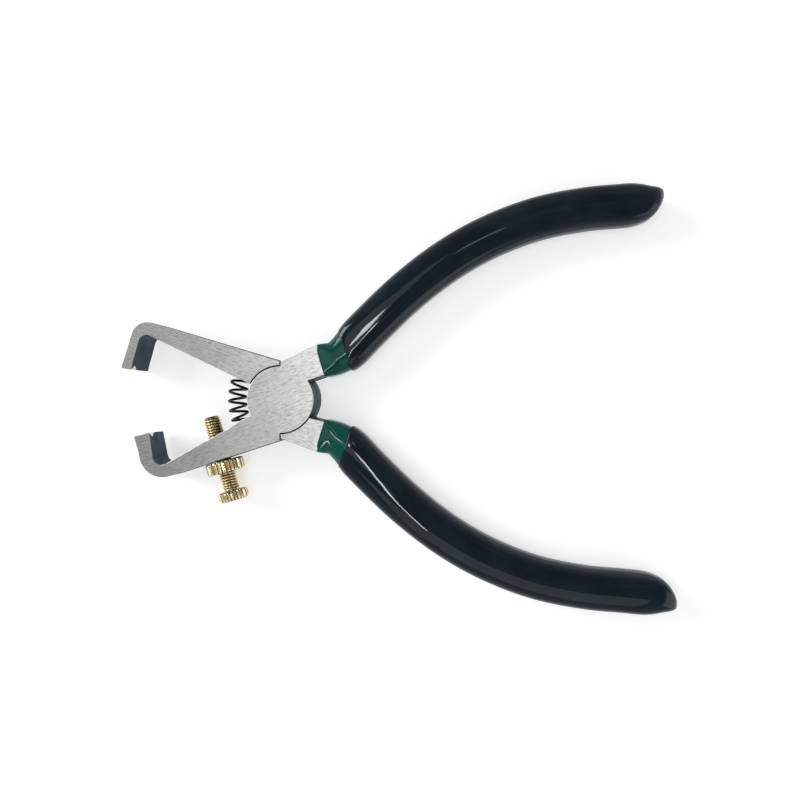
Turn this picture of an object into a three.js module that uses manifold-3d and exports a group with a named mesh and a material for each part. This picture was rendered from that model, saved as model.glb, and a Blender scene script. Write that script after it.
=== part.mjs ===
// Adjustable end wire stripper: two lapped steel levers on a flush rivet, a return spring
// between the jaws, a knurled adjusting screw with its lock nut, and two-layer dipped grips.
//
// Millimetres, +Z up, the tool lies flat. The pivot axis is Z through the origin and the
// underside of the hub is the plane z = 0. The jaws point to -X, the handles to +X.
// The rear lever has the upper jaw and the lower handle. Everything that belongs to one
// lever is drawn as for the rear lever, and turned over about X for the front one.

import * as THREE from "three";
import { mergeVertices } from "three/addons/utils/BufferGeometryUtils.js";
import Module from "manifold-3d";

const wasm = await Module();
wasm.setup();

const DEG = Math.PI / 180;

// ---------------------------------------------------------------- driving dimensions

const THICKNESS = 10;                  // both levers lapped together
const MID = THICKNESS / 2;
const HUB_RADIUS = 9.5;
const LAP_GAP = 0.2;                   // between the two hub discs
const SEAT_GAP = 0.35;                 // between a hub disc and the arc seat around it
const SHOULDER_GAP = 0.3;              // between the shoulders that stop the opening
const THROUGH = 1;                     // how far a cutting solid runs past the face it cuts
const POCKET_RUN = 9;                  // length of the tool that cuts a spring pocket

const RIVET = { shank: 3, head: 4.2, sink: 1.2, clearance: 0.12 };

// Jaws. The blades meet on radii about the pivot, the upper one outside the lower one.
const BLADE = { upperInner: 43.45, upperOuter: 46.3, lowerInner: 38.6, lowerOuter: 43.05 };
const BLADE_END = { upper: 168.75, lower: 166.0 };   // polar angle of each blade's end face
const BLADE_ROOT = { upper: 159.5, lower: 158.6 };   // where the concentric face ends
const NOTCH = { width: 3.2, depth: 1.3, height: 8.2 };   // V cut across each blade's end
const BLADE_TAPER = { from: 22, degrees: 5.9 };      // the lower blade thins from this Y down

// Handles. The centreline of the front handle, from the neck to past the end of the grip.
const HANDLE_LINE = [
  [6.5, 9.4], [11.2, 11.1], [14.8, 12.0], [18.2, 14.3], [23.6, 19.9], [35.1, 31.0],
  [46.8, 40.1], [58.5, 46.9], [73.1, 52.6], [87.8, 55.6], [99.5, 56.7], [117, 58.6],
];
const REAR_HANDLE_INSET = 0.8;         // the rear handle lies closer to the tool's axis
const TANG_START = 7.5;                // X on the centreline, inside the neck
const COLLAR_START = 11.8;             // X where the grips begin
const SLEEVE_START = 18.2;             // X where the outer layer begins
const SLEEVE_LEAN = 18;                // its edge leans this much from square to the tool
const GRIP_END = { front: 111.0, rear: 114.8 };
const GRIP = {
  halfWidth: 6.05, halfThickness: 5.3,
  taper: 12, taperPower: 0.6,          // how it narrows towards its end
  nib: 2.4, nibLength: 6,              // how its end turns outwards
  flare: 1.1, flareLength: 11,         // how it widens from the neck
};
const GRIP_ROUND = { size: 2.6, thickness: 3.2, segments: 2 };
const COLLAR_INSET = 0.35;             // the collar's surface below the sleeve's
const LINER_INSET = 1.15;              // the liner's surface below the sleeve's
const TANG_INSET = 2.35;               // the steel tang's surface below the sleeve's
const LAYER_GAP = 0.25;                // between the layers of a grip
const TANG_SHORT = 4;                  // the tang ends this much farther from the grip's end
const GRIP_STEPS = 18;                 // stations along a handle
const GRIP_NOSE = 0.4;                 // radius of the end of a grip's flat face

const SPRING = {
  wire: 0.4, coil: 2.33, pitch: 2.56, axisRadius: 18, axisOffset: -13.9,
  reach: 32,                           // half the angle of its bow, into both pockets
  stepsPerTurn: 12, sides: 6,
};
const POCKET = { radius: 3.25, floor: 33.5 };   // blind, its floor at this angle of the bow

const SCREW = {
  seat: [-18.05, -17.5], tilt: 16,     // where its axis leaves the lower jaw, and its lean
  radius: 2.45, hole: 2.6, tip: -12.9, chamfer: 0.5,
  headStart: 9.4, headEnd: 12.3, headRadius: 4.15,
  neckRadius: 2.0, knurls: 26, knurlDepth: 0.28,
};
const HEAD_SOCKET = 1.6;               // how far the shank reaches into its knurled head
const HEAD_CLEARANCE = 0.15;
const NUT = { start: 0.35, end: 3.85, radius: 5.3, hole: 2.85, knurls: 26, knurlDepth: 0.3 };

// ---------------------------------------------------------------- solids

function solidOf(geometry) {
  geometry.deleteAttribute("normal");
  geometry.deleteAttribute("uv");
  const merged = mergeVertices(geometry, 1e-4);
  return new wasm.Manifold(new wasm.Mesh({
    numProp: 3,
    vertProperties: new Float32Array(merged.attributes.position.array),
    triVerts: new Uint32Array(merged.index.array),
  }));
}

function geometryOf(solid) {
  const mesh = solid.getMesh();
  const geometry = new THREE.BufferGeometry();
  geometry.setAttribute("position", new THREE.BufferAttribute(mesh.vertProperties, 3));
  geometry.setIndex(new THREE.BufferAttribute(mesh.triVerts, 1));
  return geometry;
}

// A plan outline between two heights.
function slab(shape, low, high) {
  const options = { depth: high - low, bevelEnabled: false, curveSegments: 10 };
  return new THREE.ExtrudeGeometry(shape, options).translate(0, 0, low);
}

// A disc or a cone on the Z axis.
function turned(lowRadius, highRadius, low, high, segments = 48) {
  const geometry = new THREE.CylinderGeometry(highRadius, lowRadius, high - low, segments);
  return geometry.rotateX(Math.PI / 2).translate(0, 0, (low + high) / 2);
}

const polar = (radius, degrees) => [
  radius * Math.cos(degrees * DEG),
  radius * Math.sin(degrees * DEG),
];

// Points along a circle about the pivot, without its two ends.
function betweenOnArc(radius, from, to, steps) {
  const points = [];
  for (let i = 1; i < steps; i += 1) {
    points.push(polar(radius, from + (to - from) * i / steps));
  }
  return points;
}

// A closed outline through corners [x, y, radius], each rounded by its radius if it has one.
function roundedShape(corners) {
  const shape = new THREE.Shape();
  const count = corners.length;
  corners.forEach(([x, y, radius = 0], i) => {
    const corner = new THREE.Vector2(x, y);
    const before = new THREE.Vector2(...corners[(i + count - 1) % count].slice(0, 2));
    const after = new THREE.Vector2(...corners[(i + 1) % count].slice(0, 2));
    const back = before.sub(corner).normalize();
    const ahead = after.sub(corner).normalize();
    const halfAngle = Math.acos(back.dot(ahead)) / 2;
    const reach = radius / Math.tan(halfAngle);
    const start = corner.clone().addScaledVector(back, reach);
    const end = corner.clone().addScaledVector(ahead, reach);
    if (i === 0) {
      shape.moveTo(start.x, start.y);
    } else {
      shape.lineTo(start.x, start.y);
    }
    if (radius > 0) {
      const middle = back.clone().add(ahead).normalize();
      const centre = corner.clone().addScaledVector(middle, radius / Math.sin(halfAngle));
      const sweep = Math.sign(ahead.cross(back)) * (Math.PI - 2 * halfAngle);
      const steps = Math.ceil(2 + radius * Math.abs(sweep));
      for (let step = 1; step <= steps; step += 1) {
        const point = start.clone().rotateAround(centre, sweep * step / steps);
        shape.lineTo(point.x, point.y);
      }
    }
  });
  shape.closePath();
  return shape;
}

// Turns a piece drawn for the rear lever over, to where it is on the front lever.
const turnOver = (geometry) => geometry.rotateX(Math.PI).translate(0, 0, THICKNESS);

// ---------------------------------------------------------------- jaws

function rearJawShape() {
  const inner = betweenOnArc(BLADE.upperInner, BLADE_END.upper, BLADE_ROOT.upper, 4);
  return roundedShape([
    [-SHOULDER_GAP / 2, 5],
    [-SHOULDER_GAP / 2, 11.0],
    [-41.1, 23.25, 4.5],
    [...polar(BLADE.upperOuter, BLADE_END.upper), 0.25],
    polar(BLADE.upperInner, BLADE_END.upper),
    ...inner,
    [-39.75, 19.45, 2.2],
    [-4, 2.23],
  ]);
}

// Drawn turned over, as if it were the rear lever's.
function frontJawShape() {
  const outer = betweenOnArc(BLADE.lowerOuter, BLADE_ROOT.lower, BLADE_END.lower, 4);
  return roundedShape([
    [-SHOULDER_GAP / 2, 5],
    [-SHOULDER_GAP / 2, 11.66],
    [-38.6, 24.1, 6.6],
    ...outer,
    polar(BLADE.lowerOuter, BLADE_END.lower),
    [...polar(BLADE.lowerInner, BLADE_END.lower), 0.25],
    [-35.9, 20.05, 2.5],
    [-14.9, 8.3],
    [-11.4, 6.0],
    [-4, 2.2],
  ]);
}

// A V across a blade's end: the triangle lies across the thickness and points up the blade.
function notch(degrees, radius, height) {
  const half = NOTCH.width / 2;
  const triangle = new THREE.Shape();
  triangle.moveTo(-half - THROUGH, THROUGH);
  triangle.lineTo(0, -NOTCH.depth);
  triangle.lineTo(half + THROUGH, THROUGH);
  const prism = new THREE.ExtrudeGeometry(triangle, { depth: 12, bevelEnabled: false });
  const outward = new THREE.Vector3(...polar(1, degrees), 0);
  const offEnd = new THREE.Vector3(...polar(1, degrees + 90), 0);
  const across = new THREE.Vector3().crossVectors(offEnd, outward);
  const place = new THREE.Matrix4().makeBasis(across, offEnd, outward);
  place.setPosition(...polar(radius - 6, degrees), height);
  return prism.applyMatrix4(place);
}

// ---------------------------------------------------------------- handles

const handleInset = (side) => (side === "rear" ? REAR_HANDLE_INSET : 0);

const handleCurve = (side) => new THREE.CatmullRomCurve3(
  HANDLE_LINE.map(([x, y]) => new THREE.Vector3(x, handleInset(side) - y, 0)),
  false,
  "centripetal",
);

// The curve parameter where the centreline reaches a given X.
function parameterAt(curve, x) {
  let low = 0;
  let high = 1;
  for (let i = 0; i < 40; i += 1) {
    const middle = (low + high) / 2;
    if (curve.getPointAt(middle).x < x) {
      low = middle;
    } else {
      high = middle;
    }
  }
  return low;
}

// Half the grip's width at distances from its start and its end.
function gripHalfWidth(fromStart, fromEnd) {
  const rest = 1 - Math.min(fromEnd / GRIP.taper, 1);
  const flare = THREE.MathUtils.smoothstep(fromStart, 0, GRIP.flareLength);
  const full = GRIP.halfWidth - GRIP.flare * (1 - flare);
  return full * (1 - rest * rest) ** GRIP.taperPower;
}

// How far the grip's end is turned outwards at a distance from its tip.
function nibOffset(fromEnd) {
  const share = Math.max(1 - fromEnd / GRIP.nibLength, 0);
  return GRIP.nib * share * share;
}

// How far along a handle station i lies, with the stations closer together near both ends.
function stationShare(i) {
  const share = i / GRIP_STEPS;
  return share / 2 + (1 - Math.cos(Math.PI * share)) / 4;
}

// The body of a grip or of what lies inside it: a band along the centreline with rounded
// edges, its surface a given inset below the sleeve's, and its end farther in if asked.
function gripBody(side, inset, endInset = inset) {
  const curve = handleCurve(side);
  const length = curve.getLength();
  const round = Math.max(GRIP_ROUND.size - inset, 0.6);
  const thickness = GRIP.halfThickness - inset * 0.8;
  const roundThickness = Math.max(GRIP_ROUND.thickness - inset * 0.8, 0.6);
  const start = parameterAt(curve, TANG_START);
  const collar = parameterAt(curve, COLLAR_START);
  const tip = parameterAt(curve, GRIP_END[side]);
  const end = tip - (endInset + round + GRIP_NOSE) / length;
  const left = [];
  const right = [];
  for (let i = 0; i <= GRIP_STEPS; i += 1) {
    const u = Math.min(start + (tip - start) * stationShare(i), end);
    const { x, y } = curve.getPointAt(u);
    const along = curve.getTangentAt(u);
    const whole = gripHalfWidth((u - collar) * length, (tip - u) * length);
    const width = Math.max(whole - inset - round, GRIP_NOSE);
    const leftReach = width - nibOffset((tip - u) * length);
    const rightReach = width + nibOffset((tip - u) * length);
    left.push(new THREE.Vector2(x - along.y * leftReach, y + along.x * leftReach));
    right.push(new THREE.Vector2(x + along.y * rightReach, y - along.x * rightReach));
    if (u === end) {
      break;
    }
  }
  const nose = new THREE.Vector2().addVectors(left.at(-1), right.at(-1)).divideScalar(2);
  const cap = [45, 90, 135].map((turn) => right.at(-1).clone().rotateAround(nose, turn * DEG));
  const shape = new THREE.Shape([...right, ...cap, ...left.reverse()]);
  const geometry = new THREE.ExtrudeGeometry(shape, {
    depth: 2 * (thickness - roundThickness),
    bevelSize: round,
    bevelThickness: roundThickness,
    bevelSegments: GRIP_ROUND.segments,
  });
  return solidOf(geometry.translate(0, 0, MID - thickness + roundThickness));
}

// Everything beyond a line across the handle, a distance along from where it reaches an X.
// The line is square to the handle unless its own lean is given.
function beyond(side, startX, along = 0, lean = null) {
  const curve = handleCurve(side);
  const u = parameterAt(curve, startX);
  const point = curve.getPointAt(u);
  const tangent = curve.getTangentAt(u);
  const turn = lean === null ? Math.atan2(tangent.y, tangent.x) : -lean * DEG;
  const box = new THREE.BoxGeometry(200, 80, 40);
  box.translate(100 + along, 0, 0).rotateZ(turn);
  return solidOf(box.translate(point.x, point.y, MID));
}

// ---------------------------------------------------------------- levers

function neckShape(side) {
  const inset = handleInset(side);
  return roundedShape([
    [SHOULDER_GAP / 2, -5],
    [4, -2.4],
    [8.2, -5.6 + inset / 2],
    [12.9, -7.2 + inset],
    [16.0, -9.4 + inset],
    [13.6, -17.4 + inset],
    [9.9, -15.5 + inset],
    [SHOULDER_GAP / 2, -11.1],
  ]);
}

// The blind pocket for the spring's end in the jaw above it.
function springPocket() {
  const degrees = 180 - POCKET.floor;
  const spot = springAxis(degrees);
  const hole = turned(POCKET.radius, POCKET.radius, 0, POCKET_RUN, 24);
  const along = new THREE.Vector3(...polar(1, degrees + 90), 0);
  const fromZ = new THREE.Quaternion().setFromUnitVectors(new THREE.Vector3(0, 0, 1), along);
  return solidOf(hole.applyQuaternion(fromZ).translate(spot.x, spot.y, MID));
}

function lever(side, jaw, bladeNotch) {
  const top = THICKNESS + THROUGH;
  const discTop = MID - LAP_GAP / 2;
  const seat = HUB_RADIUS + SEAT_GAP;
  const rivetHole = RIVET.shank + RIVET.clearance;
  const rivetMouth = rivetHole + (RIVET.head - RIVET.shank) * (1 + THROUGH / RIVET.sink);
  const neck = solidOf(slab(neckShape(side), 0, THICKNESS))
    .subtract(beyond(side, COLLAR_START, -LAYER_GAP));
  return solidOf(slab(jaw, 0, THICKNESS))
    .add(neck)
    .add(gripBody(side, TANG_INSET, TANG_INSET + TANG_SHORT))
    .subtract(solidOf(turned(seat, seat, MID - LAP_GAP / 2, top, 72)))
    .add(solidOf(turned(HUB_RADIUS, HUB_RADIUS, 0, discTop, 72)))
    .subtract(solidOf(turned(rivetHole, rivetHole, -THROUGH, top)))
    .subtract(solidOf(turned(rivetMouth, rivetHole, -THROUGH, RIVET.sink)))
    .subtract(springPocket())
    .subtract(solidOf(bladeNotch));
}

function rearLever() {
  const cut = notch(BLADE_END.upper, BLADE.upperInner, NOTCH.height);
  return geometryOf(lever("rear", rearJawShape(), cut));
}

// What is ground off the lower blade's back, drawn turned over.
function bladeRelief() {
  const box = new THREE.BoxGeometry(16, 30, 10).translate(0, -15, 5);
  box.rotateX(BLADE_TAPER.degrees * DEG);
  return solidOf(box.translate(-BLADE.lowerOuter + 3, BLADE_TAPER.from, THICKNESS));
}

function frontLever() {
  const cut = notch(BLADE_END.lower, BLADE.lowerInner, THICKNESS - NOTCH.height);
  const hole = turned(SCREW.hole, SCREW.hole, -30, 30, 24).applyMatrix4(screwPlacement());
  const solid = lever("front", frontJawShape(), cut)
    .subtract(bladeRelief())
    .subtract(solidOf(turnOver(hole)));
  return turnOver(geometryOf(solid));
}

function rivetGeometry() {
  const { shank, head, sink } = RIVET;
  const profile = [
    [0, 0], [head, 0], [shank, sink], [shank, THICKNESS - sink], [head, THICKNESS],
    [0, THICKNESS],
  ];
  const points = profile.map(([r, z]) => new THREE.Vector2(r, z));
  return new THREE.LatheGeometry(points, 48).rotateX(Math.PI / 2);
}

// ---------------------------------------------------------------- spring

// A point on the spring's bowed axis, at an angle about the centre of its bow.
function springAxis(degrees) {
  const centre = SPRING.axisOffset + SPRING.axisRadius;
  const [x, y] = polar(SPRING.axisRadius, degrees);
  return new THREE.Vector3(centre + x, y, MID);
}

class BowedHelix extends THREE.Curve {
  constructor(from, to, turns) {
    super();
    this.from = from;
    this.to = to;
    this.turns = turns;
  }

  getPoint(t) {
    const degrees = this.from + (this.to - this.from) * t;
    const angle = 2 * Math.PI * this.turns * t;
    const outward = new THREE.Vector3(...polar(1, degrees), 0);
    const point = springAxis(degrees);
    point.addScaledVector(outward, SPRING.coil * Math.cos(angle));
    point.z += SPRING.coil * Math.sin(angle);
    return point;
  }
}

function springGeometry() {
  const reach = SPRING.reach;
  const turns = 2 * reach * DEG * SPRING.axisRadius / SPRING.pitch;
  const path = new BowedHelix(180 - reach, 180 + reach, turns);
  const section = new THREE.Shape();
  section.absarc(0, 0, SPRING.wire, 0, 2 * Math.PI);
  return new THREE.ExtrudeGeometry(section, {
    extrudePath: path,
    steps: Math.round(turns * SPRING.stepsPerTurn),
    curveSegments: SPRING.sides / 2,
    bevelEnabled: false,
  });
}

// ---------------------------------------------------------------- screw and nut

function knurledShape(radius, knurls, depth) {
  const points = [];
  for (let i = 0; i < 2 * knurls; i += 1) {
    const reach = i % 2 === 0 ? radius : radius - depth;
    points.push(new THREE.Vector2(...polar(reach, i * 180 / knurls)));
  }
  return new THREE.Shape(points);
}

// A knurled disc with both rims chamfered.
function knurledDisc(radius, knurls, depth, low, high, chamfer) {
  const solid = solidOf(slab(knurledShape(radius, knurls, depth), low, high));
  const profile = [
    [0, low], [radius - chamfer, low], [radius + 0.01, low + chamfer],
    [radius + 0.01, high - chamfer], [radius - chamfer, high], [0, high],
  ];
  const points = profile.map(([r, z]) => new THREE.Vector2(r, z));
  const blank = new THREE.LatheGeometry(points, 48).rotateX(Math.PI / 2);
  return solid.intersect(solidOf(blank));
}

// The frame of the screw and its nut: origin on the lower jaw's underside, +Z out to the head.
function screwPlacement() {
  const lean = SCREW.tilt * DEG;
  const outward = new THREE.Vector3(Math.sin(lean), -Math.cos(lean), 0);
  const across = new THREE.Vector3(Math.cos(lean), Math.sin(lean), 0);
  const third = new THREE.Vector3().crossVectors(outward, across);
  const place = new THREE.Matrix4().makeBasis(across, third, outward);
  return place.setPosition(...SCREW.seat, MID);
}

function screwShankGeometry() {
  const { radius, tip, chamfer, headStart, neckRadius } = SCREW;
  const joint = headStart + HEAD_SOCKET;
  const profile = [
    [0, tip], [radius - chamfer, tip], [radius, tip + chamfer], [radius, headStart - 0.8],
    [neckRadius, headStart - 0.4], [neckRadius, joint], [0, joint],
  ];
  const points = profile.map(([r, z]) => new THREE.Vector2(r, z));
  return new THREE.LatheGeometry(points, 32).rotateX(Math.PI / 2);
}

function screwHeadGeometry() {
  const { headRadius, knurls, knurlDepth, headStart, headEnd, neckRadius } = SCREW;
  const bore = neckRadius + HEAD_CLEARANCE;
  const disc = knurledDisc(headRadius, knurls, knurlDepth, headStart, headEnd, 0.5);
  const socketEnd = headStart + HEAD_SOCKET + HEAD_CLEARANCE;
  return geometryOf(disc.subtract(solidOf(turned(bore, bore, headStart - 1, socketEnd, 32))));
}

function nutGeometry() {
  const { start, end, radius, hole, knurls, knurlDepth } = NUT;
  const disc = knurledDisc(radius, knurls, knurlDepth, start, end, 0.6);
  return geometryOf(disc.subtract(solidOf(turned(hole, hole, start - 1, end + 1, 32))));
}

// ---------------------------------------------------------------- grips

// The green under-layer: a thicker collar where it shows, a thin sheath under the sleeve.
function linerGeometry(side) {
  const cavity = TANG_INSET - LAYER_GAP;
  const sleeved = beyond(side, SLEEVE_START, 0, SLEEVE_LEAN);
  const collar = gripBody(side, COLLAR_INSET).subtract(sleeved);
  const solid = gripBody(side, LINER_INSET)
    .add(collar)
    .intersect(beyond(side, COLLAR_START))
    .subtract(gripBody(side, cavity, cavity + TANG_SHORT));
  return geometryOf(solid);
}

// The black outer layer, open where the collar comes out of it.
function sleeveGeometry(side) {
  const solid = gripBody(side, 0)
    .subtract(gripBody(side, LINER_INSET - LAYER_GAP))
    .intersect(beyond(side, SLEEVE_START, LAYER_GAP, SLEEVE_LEAN));
  return geometryOf(solid);
}

// ---------------------------------------------------------------- assembly

function material(color, roughness, metalness) {
  return new THREE.MeshStandardMaterial({ color, roughness, metalness });
}

const brushedSteel = material(0xc4c5c2, 0.35, 1);
const springSteel = material(0x2a2d31, 0.4, 0.9);
const brass = material(0xa8956a, 0.35, 1);
const greenDip = material(0x0b4a42, 0.25, 0);
const blackDip = material(0x1d2630, 0.25, 0);

function piece(name, geometry, look) {
  const mesh = new THREE.Mesh(geometry, look);
  mesh.name = name;
  return mesh;
}

const tool = new THREE.Group();
tool.add(
  piece("front_lever", frontLever(), brushedSteel),
  piece("rear_lever", rearLever(), brushedSteel),
  piece("pivot_rivet", rivetGeometry(), brushedSteel),
  piece("return_spring", springGeometry(), springSteel),
  piece("front_grip_liner", turnOver(linerGeometry("front")), greenDip),
  piece("front_grip_sleeve", turnOver(sleeveGeometry("front")), blackDip),
  piece("rear_grip_liner", linerGeometry("rear"), greenDip),
  piece("rear_grip_sleeve", sleeveGeometry("rear"), blackDip),
);

const adjuster = new THREE.Group();
adjuster.applyMatrix4(screwPlacement());
adjuster.add(
  piece("screw_shank", screwShankGeometry(), brass),
  piece("screw_head", screwHeadGeometry(), brass),
  piece("lock_nut", nutGeometry(), brass),
);
tool.add(adjuster);

export default tool;
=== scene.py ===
"""Looks of the adjustable wire stripper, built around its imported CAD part."""

import math

import bmesh
import bpy
from mathutils import Matrix, Quaternion, Vector

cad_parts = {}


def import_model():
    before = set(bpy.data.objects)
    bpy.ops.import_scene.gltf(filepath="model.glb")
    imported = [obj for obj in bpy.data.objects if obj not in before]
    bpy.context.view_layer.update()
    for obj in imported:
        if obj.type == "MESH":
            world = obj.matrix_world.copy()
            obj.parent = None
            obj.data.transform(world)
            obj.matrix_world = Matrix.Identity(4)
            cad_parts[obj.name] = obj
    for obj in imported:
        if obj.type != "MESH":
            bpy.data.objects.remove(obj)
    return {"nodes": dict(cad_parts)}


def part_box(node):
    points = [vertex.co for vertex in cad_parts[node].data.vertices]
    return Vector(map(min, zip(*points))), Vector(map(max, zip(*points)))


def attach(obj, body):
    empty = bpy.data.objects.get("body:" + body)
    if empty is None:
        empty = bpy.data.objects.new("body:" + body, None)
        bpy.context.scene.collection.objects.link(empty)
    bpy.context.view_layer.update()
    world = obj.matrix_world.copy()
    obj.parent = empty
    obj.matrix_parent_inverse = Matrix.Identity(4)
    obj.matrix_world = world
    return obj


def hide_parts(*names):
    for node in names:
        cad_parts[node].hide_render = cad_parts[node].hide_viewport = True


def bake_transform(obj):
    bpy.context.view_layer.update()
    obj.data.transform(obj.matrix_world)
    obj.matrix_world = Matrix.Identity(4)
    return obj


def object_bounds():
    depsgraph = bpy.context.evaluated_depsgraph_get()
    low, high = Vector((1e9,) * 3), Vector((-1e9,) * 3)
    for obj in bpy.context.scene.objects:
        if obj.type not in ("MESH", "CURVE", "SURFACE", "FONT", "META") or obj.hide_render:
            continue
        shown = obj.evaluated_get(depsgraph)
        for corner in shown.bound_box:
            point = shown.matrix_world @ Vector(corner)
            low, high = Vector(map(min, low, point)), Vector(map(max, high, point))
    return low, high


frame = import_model()
CAD_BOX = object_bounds()

# Sizes and places of the tool's pieces are in mm from the hub's underside on the pivot axis.
MM = 0.001
MID = 5.0                    # mid-plane of the tool
UV_PER_MM = 0.01             # the grips' UV maps run once around them and this far per mm

# ---------------------------------------------------------------- node helpers


class Nodes:
    """A small builder for one material's node tree."""

    def __init__(self, name):
        self.material = bpy.data.materials.new(name)
        self.material.use_nodes = True
        self.tree = self.material.node_tree
        self.shader = self.tree.nodes["Principled BSDF"]
        self.coords = self.tree.nodes.new("ShaderNodeTexCoord").outputs["Object"]

    def link(self, source, target):
        self.tree.links.new(source, target)

    def put(self, name, value):
        """Sets a constant on the shader, or links an output to it."""
        socket = self.shader.inputs[name]
        if isinstance(value, bpy.types.NodeSocket):
            self.link(value, socket)
        else:
            socket.default_value = value

    def mapped(self, scale, turn=0.0):
        """Object coordinates in mm, turned about Z and then scaled per axis."""
        turned = self.tree.nodes.new("ShaderNodeMapping")
        turned.inputs["Rotation"].default_value = (0, 0, -math.radians(turn))
        self.link(self.coords, turned.inputs["Vector"])
        scaled = self.tree.nodes.new("ShaderNodeMapping")
        scaled.inputs["Scale"].default_value = [s / MM for s in scale]
        self.link(turned.outputs["Vector"], scaled.inputs["Vector"])
        return scaled.outputs["Vector"]

    def noise(self, scale, turn=0.0, detail=3.0, rough=0.55, distortion=0.0):
        node = self.tree.nodes.new("ShaderNodeTexNoise")
        node.inputs["Scale"].default_value = 1.0
        node.inputs["Detail"].default_value = detail
        node.inputs["Roughness"].default_value = rough
        node.inputs["Distortion"].default_value = distortion
        self.link(self.mapped(scale, turn), node.inputs["Vector"])
        return node.outputs["Fac"]

    def lengthwise(self, around, along, detail=3.0):
        """Noise drawn out along a grip: cells per turn around it, and per mm along it."""
        coords = self.tree.nodes.new("ShaderNodeTexCoord")
        scaled = self.tree.nodes.new("ShaderNodeMapping")
        scaled.inputs["Scale"].default_value = (around, along / UV_PER_MM, 1)
        self.link(coords.outputs["UV"], scaled.inputs["Vector"])
        node = self.tree.nodes.new("ShaderNodeTexNoise")
        node.inputs["Scale"].default_value = 1.0
        node.inputs["Detail"].default_value = detail
        self.link(scaled.outputs["Vector"], node.inputs["Vector"])
        return node.outputs["Fac"]

    def off_axis(self, point, axis):
        """The distance from a line, in mm."""
        away = self.tree.nodes.new("ShaderNodeVectorMath")
        away.operation = "SUBTRACT"
        self.link(self.coords, away.inputs[0])
        away.inputs[1].default_value = Vector(point) * MM
        cross = self.tree.nodes.new("ShaderNodeVectorMath")
        cross.operation = "CROSS_PRODUCT"
        self.link(away.outputs["Vector"], cross.inputs[0])
        cross.inputs[1].default_value = Vector(axis) / MM
        length = self.tree.nodes.new("ShaderNodeVectorMath")
        length.operation = "LENGTH"
        self.link(cross.outputs["Vector"], length.inputs[0])
        return length.outputs["Value"]

    def lying(self):
        """How far the surface lies flat: 1 on the faces, 0 on the upright sides."""
        coords = self.tree.nodes.new("ShaderNodeTexCoord")
        split = self.tree.nodes.new("ShaderNodeSeparateXYZ")
        self.link(coords.outputs["Normal"], split.inputs["Vector"])
        size = self.tree.nodes.new("ShaderNodeMath")
        size.operation = "ABSOLUTE"
        self.link(split.outputs["Z"], size.inputs[0])
        return size.outputs["Value"]

    def span(self, fac, low, high, to_low, to_high):
        """Maps a factor from one range to another, clamped."""
        node = self.tree.nodes.new("ShaderNodeMapRange")
        self.link(fac, node.inputs["Value"])
        for name, value in zip(
            ("From Min", "From Max", "To Min", "To Max"), (low, high, to_low, to_high)
        ):
            node.inputs[name].default_value = value
        return node.outputs["Result"]

    def ramp(self, fac, *stops):
        node = self.tree.nodes.new("ShaderNodeValToRGB")
        elements = node.color_ramp.elements
        while len(elements) < len(stops):
            elements.new(0.5)
        for element, (position, color) in zip(elements, stops):
            element.position = position
            element.color = (*color, 1)
        self.link(fac, node.inputs["Fac"])
        return node.outputs["Color"]

    def mix(self, fac, a, b, mode="MIX"):
        node = self.tree.nodes.new("ShaderNodeMix")
        node.data_type = "RGBA"
        node.blend_type = mode
        for name, value in (("Factor", fac), ("A", a), ("B", b)):
            sockets = [s for s in node.inputs if s.name == name and s.enabled]
            if isinstance(value, bpy.types.NodeSocket):
                self.link(value, sockets[0])
            else:
                sockets[0].default_value = value if name == "Factor" else (*value, 1)
        return [s for s in node.outputs if s.enabled][0]

    def bump(self, height, distance, strength=1.0, under=None):
        node = self.tree.nodes.new("ShaderNodeBump")
        node.inputs["Strength"].default_value = strength
        node.inputs["Distance"].default_value = distance * MM
        self.link(height, node.inputs["Height"])
        if under is not None:
            self.link(under, node.inputs["Normal"])
        return node.outputs["Normal"]


# ---------------------------------------------------------------- materials


def brushed_steel(name, grain, tone=1.0):
    """Ground steel: fine scratches along the grain, some deeper, on uneven bright metal."""
    n = Nodes(name)
    fine = n.noise((0.55, 3.1, 0.8), grain, detail=5, rough=0.65)
    coarse = n.noise((0.16, 1.5, 0.5), grain, detail=2)
    cloud = n.noise((0.11, 0.11, 0.11), detail=2)
    scratch = n.noise((0.09, 5.5, 0.9), grain + 2, detail=1)
    light = [tone * c for c in (0.81, 0.80, 0.775)]
    deep = [tone * c for c in (0.38, 0.38, 0.37)]
    base = n.ramp(fine, (0.34, deep), (0.50, [0.90 * c for c in light]), (0.66, light))
    shade = n.ramp(coarse, (0.32, (0.92, 0.92, 0.915)), (0.62, (1, 1, 1)))
    base = n.mix(1.0, base, shade, "MULTIPLY")
    patch = n.ramp(cloud, (0.35, (0.90, 0.90, 0.90)), (0.65, (1, 1, 1)))
    base = n.mix(1.0, base, patch, "MULTIPLY")
    line = n.span(scratch, 0.66, 0.72, 0.0, 0.7)
    base = n.mix(line, base, [0.55 * c for c in deep])
    n.put("Base Color", base)
    n.put("Metallic", 1.0)
    n.put("Roughness", n.span(fine, 0.25, 0.75, 0.42, 0.27))
    relief = n.bump(coarse, 0.010, 0.5)
    n.put("Normal", n.bump(fine, 0.006, 0.6, relief))
    return n.material


def edge_steel(name):
    """The thin bright edge that grinding leaves between a flat and a side wall."""
    n = Nodes(name)
    wear = n.noise((0.7, 0.7, 0.7), detail=4)
    n.put("Base Color", n.ramp(wear, (0.35, (0.40, 0.40, 0.40)), (0.65, (0.78, 0.78, 0.77))))
    n.put("Metallic", 1.0)
    n.put("Roughness", n.span(wear, 0.3, 0.7, 0.52, 0.38))
    n.put("Normal", n.bump(n.noise((2.0, 2.0, 2.0)), 0.008, 0.4))
    return n.material


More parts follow.
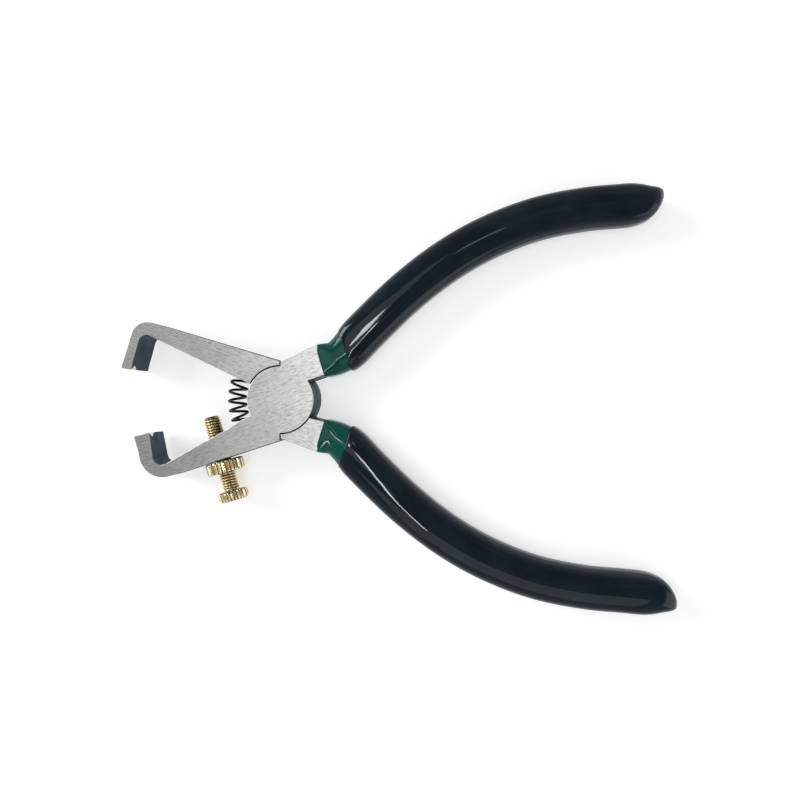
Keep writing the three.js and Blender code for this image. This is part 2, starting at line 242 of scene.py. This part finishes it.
def oxide_steel(name):
    """Black-oxide side walls with the faint marks of milling and some rubbed places."""
    n = Nodes(name)
    mark = n.noise((0.5, 0.5, 3.2), detail=3)
    cloud = n.noise((0.28, 0.28, 0.28), detail=4, distortion=0.3)
    base = n.ramp(cloud, (0.30, (0.016, 0.031, 0.048)), (0.70, (0.037, 0.062, 0.090)))
    rub = n.span(mark, 0.60, 0.78, 0.0, 0.35)
    n.put("Base Color", n.mix(rub, base, (0.12, 0.135, 0.15)))
    n.put("Metallic", 0.4)
    n.put("Roughness", n.span(cloud, 0.3, 0.7, 0.55, 0.42))
    n.put("Specular IOR Level", 0.18)
    grit = n.noise((4.5, 4.5, 4.5), detail=2)
    n.put("Normal", n.bump(mark, 0.015, 0.5, n.bump(grit, 0.006, 0.5)))
    return n.material


def spring_wire(name):
    n = Nodes(name)
    mark = n.noise((1.2, 1.2, 1.2), detail=4)
    n.put("Base Color", n.ramp(mark, (0.3, (0.008, 0.009, 0.011)), (0.75, (0.030, 0.031, 0.036))))
    n.put("Metallic", 0.7)
    n.put("Roughness", n.span(mark, 0.3, 0.7, 0.36, 0.48))
    n.put("Normal", n.bump(n.noise((6, 6, 6)), 0.006, 0.5))
    return n.material


def brass(name, root, crest):
    """Turned brass, with painted shade that darkens it towards the root radius of its teeth or
    thread.
    """
    n = Nodes(name)
    cloud = n.noise((0.45, 0.45, 0.45), detail=4, distortion=0.4)
    fine = n.noise((3.0, 3.0, 3.0), detail=3)
    base = n.ramp(cloud, (0.30, (0.95, 0.76, 0.43)), (0.62, (1.0, 0.87, 0.58)))
    stain = n.span(fine, 0.58, 0.74, 0.0, 0.5)
    base = n.mix(stain, base, (0.54, 0.41, 0.22))
    # Painted shade: the colour darkens towards the root radius of the teeth and thread, where shade
    # falls in the grooves.
    groove = n.span(n.off_axis(SCREW_SEAT, SCREW_AXIS), root, crest, 0.88, 0.0)
    n.put("Base Color", n.mix(groove, base, (0.085, 0.055, 0.022)))
    n.put("Metallic", 1.0)
    n.put("Roughness", n.span(cloud, 0.3, 0.7, 0.34, 0.20))
    n.put("Normal", n.bump(fine, 0.012, 0.5))
    return n.material


def dipped(name, deep, light, edge, gloss):
    """Glossy dipped plastic: slow waves, drawn-out streaks, faint dust, some colour drift."""
    n = Nodes(name)
    streak = n.lengthwise(46, 0.05, detail=4)
    band = n.lengthwise(9, 0.012)
    wave = n.noise((0.09, 0.09, 0.09), detail=2)
    skin = n.noise((1.1, 1.1, 1.1), detail=2)
    base = n.mix(n.span(wave, 0.35, 0.65, 0.0, 1.0), deep, light)
    base = n.mix(n.span(band, 0.45, 0.65, 0.0, 0.55), base, light)
    base = n.mix(n.span(streak, 0.54, 0.72, 0.0, 0.40), base, edge)
    dust = n.span(n.noise((2.6, 2.6, 2.6), detail=4), 0.68, 0.78, 0.0, 0.5)
    n.put("Base Color", n.mix(dust, base, edge))
    n.put("Roughness", n.span(skin, 0.3, 0.7, 0.03, 0.055))
    n.put("Specular IOR Level", n.span(n.lying(), 0.25, 0.70, 0.08, gloss))
    n.put("Normal", n.bump(wave, 0.12, 0.25, n.bump(skin, 0.005, 0.25, n.bump(streak, 0.012, 0.5))))
    return n.material


# The screw and the nut are measured outwards from the screw's seat on the lower jaw.
SCREW_SEAT = Vector((-18.05, -17.5, MID))
SCREW_LEAN = math.radians(16)
SCREW_AXIS = Vector((math.sin(SCREW_LEAN), -math.cos(SCREW_LEAN), 0))
SCREW = {"radius": 2.45, "tip": -12.9, "start": 9.4, "end": 12.3, "head": 4.15, "pitch": 0.8}
NUT = {"start": 0.35, "end": 3.85, "radius": 5.3}
FRONT_GRAIN, REAR_GRAIN = 18, -18        # the grinding's direction, in degrees from X
STEEL_FRONT = brushed_steel("brushed_steel_front", FRONT_GRAIN)
STEEL_REAR = brushed_steel("brushed_steel_rear", REAR_GRAIN)
EDGE = edge_steel("ground_edge")
OXIDE = oxide_steel("black_oxide")
WIRE = spring_wire("spring_wire")
THREAD_BRASS = brass("thread_brass", SCREW["radius"] - 0.42, SCREW["radius"] - 0.20)
KNOB_BRASS = brass("knob_brass", SCREW["head"] - 0.42, SCREW["head"] - 0.26)
NUT_BRASS = brass("nut_brass", NUT["radius"] - 0.44, NUT["radius"] - 0.26)
GREEN = dipped(
    "green_dip", (0.001, 0.066, 0.050), (0.002, 0.098, 0.076), (0.02, 0.15, 0.12), 0.32,
)
BLACK = dipped(
    "black_dip", (0.0025, 0.008, 0.014), (0.007, 0.017, 0.027), (0.02, 0.036, 0.050), 0.42,
)

# ---------------------------------------------------------------- mesh helpers


def clamped(x):
    return min(max(x, 0), 1)


def smooth(x):
    """Eases from 0 to 1 while x does, and stays there outside."""
    x = clamped(x)
    return x * x * (3 - 2 * x)


def new_object(name, mesh, body, slot, *nodes):
    piece = bpy.data.objects.new(name, mesh)
    bpy.context.scene.collection.objects.link(piece)
    if body:
        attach(piece, body)
    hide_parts(*nodes)
    return piece


def finish_mesh(bm, name, materials, sharp=35):
    """Makes the mesh, smooth but for edges sharper than the given angle."""
    bmesh.ops.recalc_face_normals(bm, faces=bm.faces[:])
    limit = math.radians(sharp)
    for face in bm.faces:
        face.smooth = True
    for edge in bm.edges:
        edge.smooth = edge.calc_face_angle(0) < limit
    mesh = bpy.data.meshes.new(name)
    bm.to_mesh(mesh)
    bm.free()
    for material in materials:
        mesh.materials.append(material)
    return mesh


def skin(rings, closed_ends=True, lengths=None):
    """A closed surface through rings of points in mm, all with the same count.

    With lengths, how far along each ring lies in mm, it gets a UV map as well.
    """
    bm = bmesh.new()
    rows = [[bm.verts.new(Vector(p) * MM) for p in ring] for ring in rings]
    for low, high in zip(rows, rows[1:]):
        count = len(low)
        for i in range(count):
            j = (i + 1) % count
            bm.faces.new((low[i], low[j], high[j], high[i]))
    if closed_ends:
        for row in (rows[0], rows[-1]):
            centre = bm.verts.new(sum((v.co for v in row), Vector()) / len(row))
            for i in range(len(row)):
                bm.faces.new((row[i], row[(i + 1) % len(row)], centre))
    if lengths:
        wrap_uv(bm, len(rings[0]), lengths)
    return bm


def wrap_uv(bm, count, lengths):
    """Maps U around the skin's rings, once, and V along them."""
    layer = bm.loops.layers.uv.new("wrap")
    bm.verts.index_update()
    last = len(lengths) - 1
    for face in bm.faces:
        columns = [loop.vert.index % count for loop in face.loops]
        wraps = max(columns) - min(columns) > count / 2
        for loop, column in zip(face.loops, columns):
            row = min(loop.vert.index // count, last)
            turn = column + (count if wraps and column < count / 2 else 0)
            loop[layer].uv = (turn / count, lengths[row] * UV_PER_MM)


# ---------------------------------------------------------------- levers

EDGE_WIDTH = 0.13            # the narrow chamfer along the ground edges
WELD = 0.002                 # points of the CAD mesh closer than this are one
BORE = 5                     # corners nearer the pivot than this stay sharp
FLAT_HEIGHT = 4              # the ground flats lie farther than this from the mid-plane
NOTCH_REACH = -36            # the blades' V notches, ground bright, lie beyond this X
COPLANAR, CORNER = 0.6, 40   # degrees: less is one flat face, more is an edge to break
LYING, SLOPING = 0.95, 0.3   # a normal's Z on the ground flats, and at least on a notch's flanks
GROUND, WALL, CHAMFER = range(3)


def lever(node, body, steel):
    """The lever's own CAD shape with its ground edges broken by a narrow chamfer."""
    bm = bmesh.new()
    bm.from_mesh(frame["nodes"][node].data)
    bmesh.ops.remove_doubles(bm, verts=bm.verts[:], dist=WELD * MM)
    bmesh.ops.dissolve_limit(
        bm, angle_limit=math.radians(COPLANAR), verts=bm.verts[:], edges=bm.edges[:],
        delimit={"NORMAL"},
    )
    corners = [
        edge for edge in bm.edges
        if edge.calc_face_angle(0) > math.radians(CORNER)
        and max(vert.co.xy.length for vert in edge.verts) > BORE * MM
    ]
    made = bmesh.ops.bevel(
        bm, geom=corners, offset=EDGE_WIDTH * MM, segments=2, profile=0.5,
        affect="EDGES", clamp_overlap=False, offset_type="OFFSET",
    )
    for face in bm.faces:
        upright = abs(face.normal.z)
        in_notch = upright > SLOPING and face.calc_center_median().x < NOTCH_REACH * MM
        face.material_index = GROUND if upright > LYING or in_notch else WALL
    for face in made["faces"]:
        height = face.calc_center_median().z / MM
        if 0.2 < abs(face.normal.z) < 0.98 and abs(height - MID) > FLAT_HEIGHT:
            face.material_index = CHAMFER
    mesh = finish_mesh(bm, f"{node}_body", [steel, OXIDE, EDGE], sharp=20)
    new_object(f"{node}_body", mesh, body, "brushed_steel", node)


lever("front_lever", "front_half", STEEL_FRONT)
lever("rear_lever", "rear_half", STEEL_REAR)

# ---------------------------------------------------------------- rivet

# The shank's radius, the countersinks' depth, how far past the CAD's heads the rims reach to
# close the seam, and the radius where the end faces stop being rings.
RIVET = {"shank": 3.0, "sink": 1.4, "rim": 0.10, "core": 0.4}
RIVET_SIDES = 64


def lathe(profile, segments):
    """Rings about Z through (radius, z) points in mm."""
    rings = []
    for radius, z in profile:
        ring = []
        for i in range(segments):
            angle = 2 * math.pi * i / segments
            ring.append(Vector((radius * math.cos(angle), radius * math.sin(angle), z)))
        rings.append(ring)
    return rings


def rivet():
    """A shank with a countersunk head at each end, ground level with the hub."""
    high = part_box("pivot_rivet")[1]
    top = high.z / MM
    rim = high.x / MM + RIVET["rim"]
    shank, sink, core = RIVET["shank"], RIVET["sink"], RIVET["core"]
    end = [(core, 0.0), (rim - 0.03, 0.0), (rim, 0.02), (rim - 0.1, 0.2), (shank, sink)]
    profile = end + [(radius, top - z) for radius, z in reversed(end)]
    bm = skin(lathe(profile, RIVET_SIDES))
    mesh = finish_mesh(bm, "rivet_ground_flush", [STEEL_FRONT], sharp=20)
    new_object("rivet_ground_flush", mesh, "front_half", "rivet_steel", "pivot_rivet")


rivet()

# ---------------------------------------------------------------- spring

# Radii of the wire, of the coil and of the bow that the coil's axis follows, the coil's pitch,
# where the bow's middle is in X, and how many degrees the bow reaches either way.
SPRING = {"wire": 0.4, "coil": 2.33, "pitch": 2.56, "axis": 18.0, "offset": -13.9, "reach": 32.0}
STEPS_PER_COIL = 32
WIRE_SIDES = 12
NEAR = 1e-4                  # the step along the spring that gives its direction


def bow_point(share, radius):
    """A point in the mid-plane, at a radius from the centre of the spring's bow."""
    bow = math.radians(180 - SPRING["reach"] + 2 * SPRING["reach"] * share)
    centre = SPRING["offset"] + SPRING["axis"]
    return Vector((centre + radius * math.cos(bow), radius * math.sin(bow), MID))


def spring():
    """A bowed helix of round wire, swept with its own normal and binormal."""
    turns = math.radians(2 * SPRING["reach"]) * SPRING["axis"] / SPRING["pitch"]
    steps = round(turns * STEPS_PER_COIL)

    def point(share):
        angle = 2 * math.pi * turns * share
        reach = SPRING["axis"] + SPRING["coil"] * math.cos(angle)
        return bow_point(share, reach) + Vector((0, 0, SPRING["coil"] * math.sin(angle)))

    rings = []
    for i in range(steps + 1):
        share = i / steps
        here = point(share)
        along = (point(share + NEAR) - point(share - NEAR)).normalized()
        out = (here - bow_point(share, SPRING["axis"])).normalized()
        side = along.cross(out).normalized()
        out = side.cross(along)
        ring = []
        for k in range(WIRE_SIDES):
            angle = 2 * math.pi * k / WIRE_SIDES
            ring.append(here + SPRING["wire"] * (out * math.cos(angle) + side * math.sin(angle)))
        rings.append(ring)
    mesh = finish_mesh(skin(rings), "return_spring_wire", [WIRE], sharp=60)
    piece = new_object("return_spring_wire", mesh, None, "spring_steel", "return_spring")
    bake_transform(piece)


spring()

# ---------------------------------------------------------------- screw and nut

THREAD = {"depth": 0.46, "flat": 0.12, "flank": 0.72}    # flat and flank: shares of half a turn
RUNOUT = {"before": 0.25, "length": 0.8, "depth": 0.28}  # the thread's end, near the knob
POINT = 0.75                 # how far the screw's tip is chamfered
LEVELS_PER_TURN = 10
THREAD_SEGMENTS = 60
HEAD_OVERLAP = 0.9           # how far the thread's core reaches into the knob
KNURL_COUNT = 26
KNURL_SEGMENTS = 10          # per tooth
# The root's and the flank's shares of half a tooth, the share of the depth that is left at a
# rim, and how far from the rim the full depth starts.
KNURL = {"flat": 0.08, "flank": 0.48, "shallow": 0.35, "fade": 0.35}
RIM_HEIGHTS = (0, 0.06, 0.14, 0.26, 0.42, 0.62, 0.9)     # rings in from each rim
HEAD = {"depth": 0.44, "crown": 0.85, "socket": 2.15, "socket_depth": 1.2, "seat": 2.9}
DIMPLE = {"face": 0.35, "rim": 0.95, "floor": 0.65, "depth": 0.12}   # in the knob's end
NUT_KNURL = {"depth": 0.46, "crown": 0.6}
NUT_BORE = {"radius": 2.62, "mouth": 3.1, "chamfer": 0.45, "face": 4.0}


def screw_frame():
    """Z along the screw, outwards from its seat in the lower jaw."""
    outward = SCREW_AXIS
    across = Vector((math.cos(SCREW_LEAN), math.sin(SCREW_LEAN), 0))
    third = outward.cross(across)
    place = Matrix((across, third, outward)).transposed().to_4x4()
    place.translation = SCREW_SEAT
    return place


SCREW_PLACE = screw_frame()


def tube_field(radius_at, levels, segments):
    """Rings about the screw's axis whose radius depends on the angle and the height."""
    rings = []
    for z in levels:
        ring = []
        for i in range(segments):
            angle = 2 * math.pi * i / segments
            r = radius_at(angle, z)
            ring.append(SCREW_PLACE @ Vector((r * math.cos(angle), r * math.sin(angle), z)))
        rings.append(ring)
    return rings


def thread_radius(angle, z):
    """An ISO-like thread: flat crest and root, straight flanks, run out under the knob."""
    phase = (z / SCREW["pitch"] + angle / (2 * math.pi)) % 1.0
    ridge = 1 - abs(2 * phase - 1)
    depth = THREAD["depth"] * (1 - clamped((ridge - THREAD["flat"]) / THREAD["flank"]))
    full = clamped((SCREW["start"] - RUNOUT["before"] - z) / RUNOUT["length"])
    radius = SCREW["radius"] - depth * full - RUNOUT["depth"] * (1 - full)
    return min(radius, SCREW["radius"] - POINT + z - SCREW["tip"])


def screw():
    step = SCREW["pitch"] / LEVELS_PER_TURN
    count = round((SCREW["start"] + HEAD_OVERLAP - SCREW["tip"]) / step)
    levels = [SCREW["tip"] + step * i for i in range(count + 1)]
    bm = skin(tube_field(thread_radius, levels, THREAD_SEGMENTS))
    mesh = finish_mesh(bm, "screw_thread", [THREAD_BRASS], sharp=50)
    new_object("screw_thread", mesh, "adjusting_screw", "brass", "screw_shank")


def knurled(radius, low, high, depth, crown):
    """Rings of coarse straight teeth whose tops roll over at both rims."""
    levels = [low + h for h in RIM_HEIGHTS] + [high - h for h in reversed(RIM_HEIGHTS)]
    rings = []
    for level in levels:
        edge = min(level - low, high - level)
        roll = crown - math.sqrt(max(crown ** 2 - max(crown - edge, 0) ** 2, 0))
        fade = min(edge / KNURL["fade"], 1)
        share = KNURL["shallow"] + (1 - KNURL["shallow"]) * fade

        def radius_at(angle, _, roll=roll, share=share):
            phase = (angle * KNURL_COUNT / (2 * math.pi)) % 1.0
            tooth = 1 - abs(2 * phase - 1)
            groove = depth * (1 - clamped((tooth - KNURL["flat"]) / KNURL["flank"]))
            return radius - roll - groove * share

        rings += tube_field(radius_at, [level], KNURL_COUNT * KNURL_SEGMENTS)
    return rings


def plain_ring(radius, z):
    """A round ring with as many points as a knurled one."""
    return tube_field(lambda angle, _: radius, [z], KNURL_COUNT * KNURL_SEGMENTS)


def head():
    """The knob, with a socket for the screw's core and a dimple in its end."""
    start, end = SCREW["start"], SCREW["end"]
    socket = plain_ring(HEAD["socket"], start + HEAD["socket_depth"])
    socket += plain_ring(HEAD["socket"], start)
    seat = plain_ring(HEAD["seat"], start)
    rings = knurled(SCREW["head"], start, end, HEAD["depth"], HEAD["crown"])
    face = plain_ring(SCREW["head"] - HEAD["crown"] - DIMPLE["face"], end)
    dimple = plain_ring(DIMPLE["rim"], end)
    dimple += plain_ring(DIMPLE["floor"], end - DIMPLE["depth"])
    bm = skin(socket + seat + rings + face + dimple)
    mesh = finish_mesh(bm, "screw_knob_knurled", [KNOB_BRASS], sharp=38)
    new_object("screw_knob_knurled", mesh, "screw_knob", "brass", "screw_head")


def nut():
    """A knurled ring with a chamfered bore, closed on itself."""
    start, end = NUT["start"], NUT["end"]
    bore, mouth, chamfer, face = (
        NUT_BORE[name] for name in ("radius", "mouth", "chamfer", "face")
    )
    low = plain_ring(bore, start + chamfer) + plain_ring(mouth, start) + plain_ring(face, start)
    rings = knurled(NUT["radius"], start, end, NUT_KNURL["depth"], NUT_KNURL["crown"])
    top = plain_ring(face, end) + plain_ring(mouth, end) + plain_ring(bore, end - chamfer)
    loop = low + rings + top
    bm = skin(loop + [loop[0]], closed_ends=False)
    bmesh.ops.remove_doubles(bm, verts=bm.verts[:], dist=1e-7)
    mesh = finish_mesh(bm, "lock_nut_knurled", [NUT_BRASS], sharp=38)
    new_object("lock_nut_knurled", mesh, "nut", "brass", "lock_nut")


screw()
head()
nut()

# ---------------------------------------------------------------- grips

# The front handle's centreline; the rear one mirrors it and lies REAR_INSET nearer the axis.
HANDLE_LINE = (
    (6.5, 9.4), (11.2, 11.1), (14.8, 12.0), (18.2, 14.3), (23.6, 19.9), (35.1, 31.0),
    (46.8, 40.1), (58.5, 46.9), (73.1, 52.6), (87.8, 55.6), (99.5, 56.7), (117, 58.6),
)
LINE_SAMPLES = 24            # between two points of the centreline
REAR_INSET = 0.8
COLLAR_START = 11.8          # X where the green layer starts
SLEEVE_START = 18.2          # X where the black layer starts
SLEEVE_LEAN = 18             # degrees that the black layer's edge leans
GRIP_END = {"front": 111.0, "rear": 114.8}
HALF_WIDTH, HALF_THICKNESS = 6.05, 5.3
TAPER, TAPER_POWER = 12, 0.6             # the rounding of the far end
NIB, NIB_LENGTH = 2.4, 6                 # the outward nib at the far end
FLARE, FLARE_LENGTH = 1.1, 11            # how much narrower the near end is, and how far along
RIDGE_CREST = 0.02           # how blunt the ridge along a grip's face is
WORN_CREST = 0.45            # how much blunter the front grip's is near its start
WORN_LENGTH = 24             # how far along that reaches
SECTION_POINTS = 56
ROUNDNESS = 3.4              # the section's power: 2 is an ellipse, more is squarer
# The black layer: its rolled lip, the clearances at its start and to the CAD shape, the ridge,
# how far its thickness takes to close at the end, and how far its start's lean lasts.
SLEEVE = {"lip": 0.5, "start": 0.1, "inside": 0.02, "ridge": 0.9, "closing": 7.5, "lean_fade": 9}
SLEEVE_STATIONS, LIP_STEPS = 100, 4
LEAST = 0.05                 # the smallest half width and half thickness, at the tip
# The green layer: its thin lip, how much slimmer it is than the black one, how far it reaches
# out before its start and in under the sleeve, and how long and how wide its square start is.
COLLAR = {"lip": 0.12, "lip_length": 0.5, "slim": 0.30, "thin": 0.18, "ridge": 0.8}
COLLAR_REACH = {"before": 0.6, "under": 3.6, "square": 5, "wider": 0.25}
COLLAR_STATIONS = 26


def centripetal(points, samples):
    """A centripetal Catmull-Rom curve through the points, finely sampled."""
    points = [Vector(p) for p in points]
    points = [2 * points[0] - points[1], *points, 2 * points[-1] - points[-2]]
    line = []
    for a, b, c, d in zip(points, points[1:], points[2:], points[3:]):
        t1 = (b - a).length ** 0.5
        t2 = t1 + (c - b).length ** 0.5
        t3 = t2 + (d - c).length ** 0.5
        for i in range(samples):
            t = t1 + (t2 - t1) * i / samples
            ab = a.lerp(b, t / t1)
            bc = b.lerp(c, (t - t1) / (t2 - t1))
            cd = c.lerp(d, (t - t2) / (t3 - t2))
            abc = ab.lerp(bc, t / t2)
            bcd = bc.lerp(cd, (t - t1) / (t3 - t1))
            line.append(abc.lerp(bcd, (t - t1) / (t2 - t1)))
    line.append(points[-2])
    return line


class Handle:
    """The centreline of one handle, measured by arc length."""

    def __init__(self, side):
        self.side = side
        rear = side == "rear"
        self.sign = -1 if rear else 1
        inset = REAR_INSET if rear else 0
        line = centripetal([(x, y - inset) for x, y in HANDLE_LINE], LINE_SAMPLES)
        self.line = [Vector((p.x, p.y * self.sign)) for p in line]
        self.reach = [0.0]
        for a, b in zip(self.line, self.line[1:]):
            self.reach.append(self.reach[-1] + (b - a).length)
        self.collar = self.length_at(COLLAR_START)
        self.sleeve = self.length_at(SLEEVE_START)
        self.tip = self.length_at(GRIP_END[side])

    def length_at(self, x):
        for i, (a, b) in enumerate(zip(self.line, self.line[1:])):
            if a.x <= x <= b.x:
                share = (x - a.x) / (b.x - a.x)
                return self.reach[i] + share * (self.reach[i + 1] - self.reach[i])
        return 0.0

    def at(self, length):
        """The point and the unit direction at a length along the centreline."""
        i = 0
        while i < len(self.reach) - 2 and self.reach[i + 1] < length:
            i += 1
        share = (length - self.reach[i]) / (self.reach[i + 1] - self.reach[i])
        point = self.line[i].lerp(self.line[i + 1], share)
        before = self.line[max(i - 1, 0)]
        after = self.line[min(i + 2, len(self.line) - 1)]
        return point, (after - before).normalized()


def half_width(handle, length):
    """Half the black layer's width, narrower at the near end and rounded off at the far one."""
    rest = 1 - min((handle.tip - length) / TAPER, 1)
    flare = smooth((length - handle.collar) / FLARE_LENGTH)
    full = HALF_WIDTH - FLARE * (1 - flare)
    return full * max(1 - rest * rest, 0) ** TAPER_POWER


def nib_offset(handle, length):
    """How far the section moves outwards to draw the nib."""
    share = max(1 - (handle.tip - length) / NIB_LENGTH, 0)
    return NIB * share * share * handle.sign


def crest(handle, length):
    """How blunt the ridge is: the front grip's is worn flatter near its start."""
    if handle.side == "rear":
        return RIDGE_CREST
    return RIDGE_CREST + WORN_CREST * (1 - smooth((length - handle.sleeve) / WORN_LENGTH))


def section(handle, length, width, thickness, ridge, power=ROUNDNESS, lean=0.0):
    """A rounded section across the handle, with a soft ridge along each face.

    With a lean, in along per across, the section's outer side lies farther along.
    """
    blunt = crest(handle, length)
    ring = []
    for i in range(SECTION_POINTS):
        angle = 2 * math.pi * i / SECTION_POINTS
        cosine, sine = math.cos(angle), math.sin(angle)
        side = math.copysign(abs(cosine) ** (2 / power), cosine)
        rise = math.copysign(abs(sine) ** (2 / power), sine)
        roof = ridge * (math.sqrt(side * side + blunt) - math.sqrt(blunt))
        across = width * side
        point, along = handle.at(length + lean * across * handle.sign)
        across += nib_offset(handle, length)
        up = rise * (thickness - roof * abs(rise))
        ring.append(Vector((point.x - along.y * across, point.y + along.x * across, MID + up)))
    return ring


def sleeve_lean(handle):
    """How the sleeve's edge leans, as along per across, at its start."""
    along = handle.at(handle.sleeve)[1]
    return math.tan(math.atan2(along.y * handle.sign, along.x) - math.radians(SLEEVE_LEAN))


def sleeve(side, body):
    """The black layer: a rolled lip, then sections to the far end."""
    handle = Handle(side)
    rings = []
    lengths = []

    def add(length, width, thickness, ridge, lean):
        rings.append(section(handle, length, width, thickness, ridge, lean=lean))
        lengths.append(length)

    lip, ridge = SLEEVE["lip"], SLEEVE["ridge"]
    lean = sleeve_lean(handle)
    full = HALF_THICKNESS - SLEEVE["inside"]
    edge = handle.sleeve + SLEEVE["start"]
    for k in range(LIP_STEPS + 1):
        angle = math.pi / 2 * k / LIP_STEPS
        inset = lip * (1 - math.sin(angle))
        length = edge + lip * (1 - math.cos(angle))
        add(length, half_width(handle, length) - inset, full - inset, ridge, lean)
    start = edge + lip
    end = handle.tip - SLEEVE["inside"]
    for i in range(1, SLEEVE_STATIONS + 1):
        step = i / SLEEVE_STATIONS
        share = 0.5 * step + 0.5 * math.sin(math.pi / 2 * step)
        length = start + (end - start) * share
        width = half_width(handle, length)
        thin = clamped((handle.tip - length) / SLEEVE["closing"])
        height = full * (1 - (1 - thin) ** 2.4) ** 0.5
        fade = 1 - smooth((length - start) / SLEEVE["lean_fade"])
        add(length, max(width, LEAST), max(height, LEAST), ridge * thin, lean * fade)
    name = f"{side}_grip_black_layer"
    mesh = finish_mesh(skin(rings, lengths=lengths), name, [BLACK], sharp=60)
    new_object(name, mesh, body, "black_dip", f"{side}_grip_sleeve")


def collar(side, body):
    """The green layer: square like the tang where it starts, then as round as the sleeve."""
    handle = Handle(side)
    rings = []
    lengths = []
    start = handle.collar - COLLAR_REACH["before"]
    end = handle.sleeve + COLLAR_REACH["under"]
    for i in range(COLLAR_STATIONS + 1):
        length = start + (end - start) * (i / COLLAR_STATIONS) ** 1.3
        lip = COLLAR["lip"] * (1 - smooth((length - start) / COLLAR["lip_length"]))
        square = 1 - smooth((length - start) / COLLAR_REACH["square"])
        wider = COLLAR_REACH["wider"] * square
        width = half_width(handle, length) - COLLAR["slim"] - lip + wider
        thickness = HALF_THICKNESS - COLLAR["thin"] - lip
        ridge = COLLAR["ridge"] * (1 - square)
        power = 2.7 + 5 * square
        rings.append(section(handle, length, width, thickness, ridge, power))
        lengths.append(length)
    name = f"{side}_grip_green_layer"
    mesh = finish_mesh(skin(rings, lengths=lengths), name, [GREEN], sharp=60)
    new_object(name, mesh, body, "green_dip", f"{side}_grip_liner")


for side, body in (("front", "front_half"), ("rear", "rear_half")):
    collar(side, body)
    sleeve(side, body)

# ---------------------------------------------------------------- floor, lights, camera

# From here on sizes and places are in metres.
FLOOR_GAP = 0.05 * MM
FLOOR_SIZE = 3.0
CEILING = 0.5                # height of the overhead lamps


def floor():
    n = Nodes("pale_floor")
    cloud = n.noise((0.004, 0.004, 0.004), detail=2)
    n.put("Base Color", n.ramp(cloud, (0.3, (0.90, 0.90, 0.90)), (0.7, (0.92, 0.92, 0.92))))
    n.put("Roughness", 0.6)
    n.put("Emission Color", (1, 1, 1, 1))
    n.put("Emission Strength", 0.50)
    mesh = bpy.data.meshes.new("floor")
    low = CAD_BOX[0].z - FLOOR_GAP
    size = FLOOR_SIZE
    corners = [(-size, -size, low), (size, -size, low), (size, size, low), (-size, size, low)]
    mesh.from_pydata(corners, [], [(0, 1, 2, 3)])
    mesh.materials.append(n.material)
    plane = bpy.data.objects.new("floor", mesh)
    bpy.context.scene.collection.objects.link(plane)


def area_light(name, place, target, size, power, turn=0.0):
    """A rectangular lamp facing its target, turned in its own plane by some degrees."""
    lamp = bpy.data.lights.new(name, "AREA")
    lamp.shape = "RECTANGLE"
    lamp.size, lamp.size_y = size
    lamp.energy = power
    light = bpy.data.objects.new(name, lamp)
    light.location = place
    aim = Vector(target) - Vector(place)
    light.rotation_mode = "QUATERNION"
    spin = Quaternion((0, 0, 1), math.radians(turn))
    light.rotation_quaternion = aim.to_track_quat("-Z", "Y") @ spin
    bpy.context.scene.collection.objects.link(light)


def ceiling_light(name, x, y, size, power, turn=0.0, lift=0.0):
    """A lamp facing straight down from the ceiling, or from a lift above it."""
    area_light(name, (x, y, CEILING + lift), (x, y, 0.0), size, power, turn)


def world():
    """Soft light from all round, brighter near the horizon than overhead."""
    made = bpy.data.worlds.new("studio")
    bpy.context.scene.world = made
    made.use_nodes = True
    tree = made.node_tree
    coords = tree.nodes.new("ShaderNodeTexCoord")
    split = tree.nodes.new("ShaderNodeSeparateXYZ")
    ramp = tree.nodes.new("ShaderNodeValToRGB")
    ramp.color_ramp.elements[0].position = 0.15
    ramp.color_ramp.elements[0].color = (0.62, 0.62, 0.62, 1)
    ramp.color_ramp.elements[1].position = 0.85
    ramp.color_ramp.elements[1].color = (0.16, 0.165, 0.17, 1)
    tree.links.new(coords.outputs["Generated"], split.inputs["Vector"])
    tree.links.new(split.outputs["Z"], ramp.inputs["Fac"])
    tree.links.new(ramp.outputs["Color"], tree.nodes["Background"].inputs["Color"])
    tree.nodes["Background"].inputs["Strength"].default_value = 0.9


floor()
world()

# The key softbox hangs above the small lamps, which give the highlights along the grips.
ceiling_light("key_softbox", -0.102, 0.06, (0.235, 0.26), 0.132, lift=0.02)
area_light("left_softbox", (-0.75, 0.35, 0.42), (0.03, 0, 0), (0.5, 0.4), 4.0)
area_light("right_softbox", (0.85, -0.35, 0.42), (0.03, 0, 0), (0.9, 0.7), 1.5)
ceiling_light("near_strip", -0.018, -0.060, (0.177, 0.012), 0.12, 65)
ceiling_light("far_strip", -0.063, -0.192, (0.095, 0.012), 0.07, 84)
ceiling_light("high_spot", -0.038, 0.062, (0.05, 0.045), 0.105)
ceiling_light("right_spot", 0.080, 0.135, (0.05, 0.03), 0.010)
area_light("low_fill", (0.0, -0.38, 0.5), (0.05, -0.1, 0.0), (0.5, 0.3), 0.28)

camera_data = bpy.data.cameras.new("camera")
camera_data.lens = 28.68
camera_data.shift_x = -0.0875
camera = bpy.data.objects.new("camera", camera_data)
camera.location = (0.0541, -0.0001, 0.1916)
bpy.context.scene.collection.objects.link(camera)
bpy.context.scene.camera = camera

bpy.context.scene.view_settings.view_transform = "Standard"
